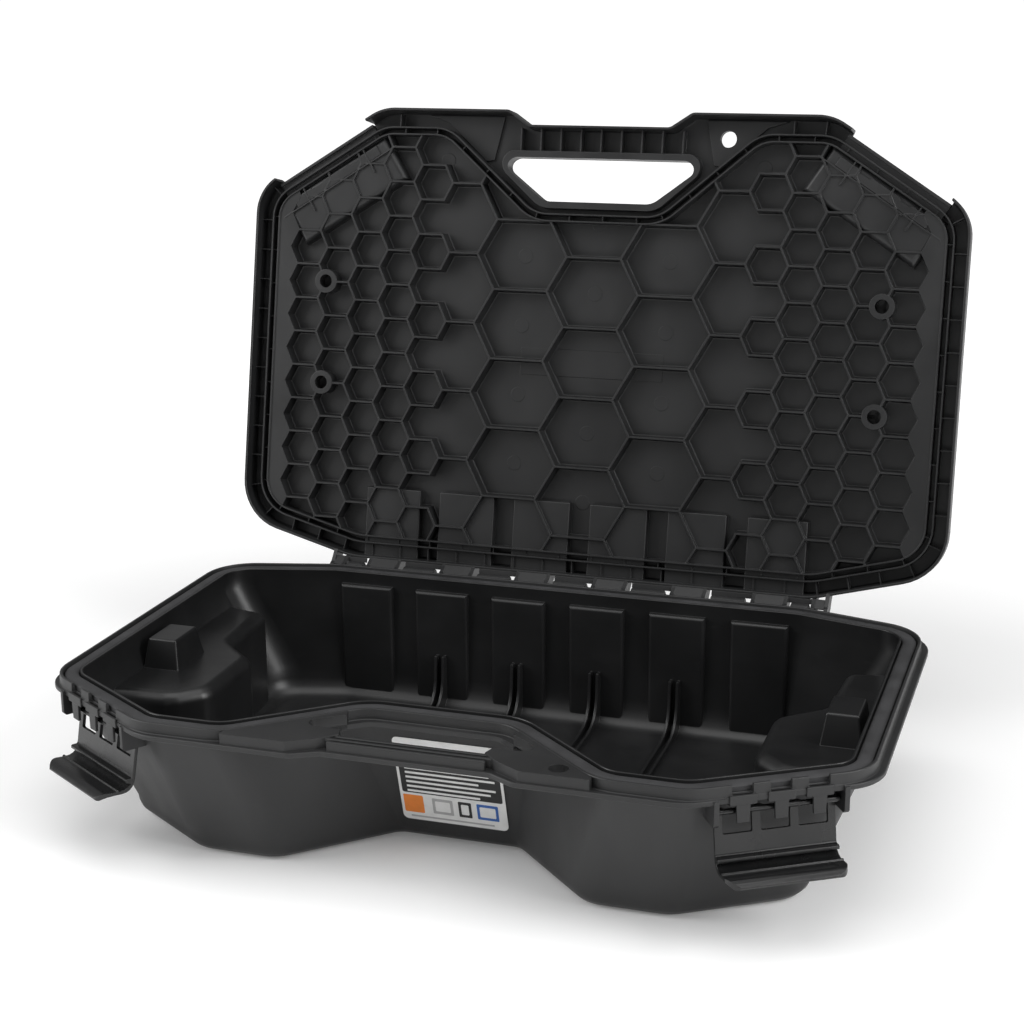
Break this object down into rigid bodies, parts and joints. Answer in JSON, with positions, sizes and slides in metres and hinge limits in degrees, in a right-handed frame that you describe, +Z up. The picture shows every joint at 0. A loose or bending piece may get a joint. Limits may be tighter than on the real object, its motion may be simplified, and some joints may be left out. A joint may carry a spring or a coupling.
{
  "type": "hard-shell cargo case",
  "caption": "Open hard-shell cargo case: a moulded tub and a honeycomb-ribbed lid on a rear hinge, with lever latches on the front corners.",
  "frame": {"origin": "middle of the tub's flat bottom: x on the middle plane, y 165 mm in front of the rear sealing line", "axes": "+Z up out of the tub, +X to the right as seen from the grip side, +Y to the rear, where the hinge is"},
  "size_m": [0.591, 0.487, 0.4746],
  "materials": {
    "tub_plastic": "fine moulded texture, black",
    "lid_plastic": "fine moulded texture, black",
    "lever_plastic": "smooth satin black",
    "pin_steel": "drawn rod",
    "seal_rubber": "soft dark grey",
    "label_film": "printed film, light border"
  },
  "bodies": {
    "tub": {"tub": "tub_plastic", "rim_seal": "seal_rubber", "hinge_pin": "pin_steel", "label": "label_film"},
    "lid": {"lid": "lid_plastic"},
    "latch_right": {"latch_lever_right": "lever_plastic"},
    "latch_left": {"latch_lever_left": "lever_plastic"}
  },
  "joints": [
    {"name": "lid_hinge", "type": "hinge", "parent": "tub", "child": "lid", "pos_m": [0, 0.191, 0.0995], "axis": [1, 0, 0], "range_deg": [0, 102]},
    {"name": "latch_right_hinge", "type": "hinge", "parent": "tub", "child": "latch_right", "pos_m": [0.23519, -0.14947, 0.092], "axis": [-0.8435, -0.5372, 0], "range_deg": [0, 170]},
    {"name": "latch_left_hinge", "type": "hinge", "parent": "tub", "child": "latch_left", "pos_m": [-0.23519, -0.14947, 0.092], "axis": [-0.8435, 0.5372, 0], "range_deg": [0, 170]}
  ]
}
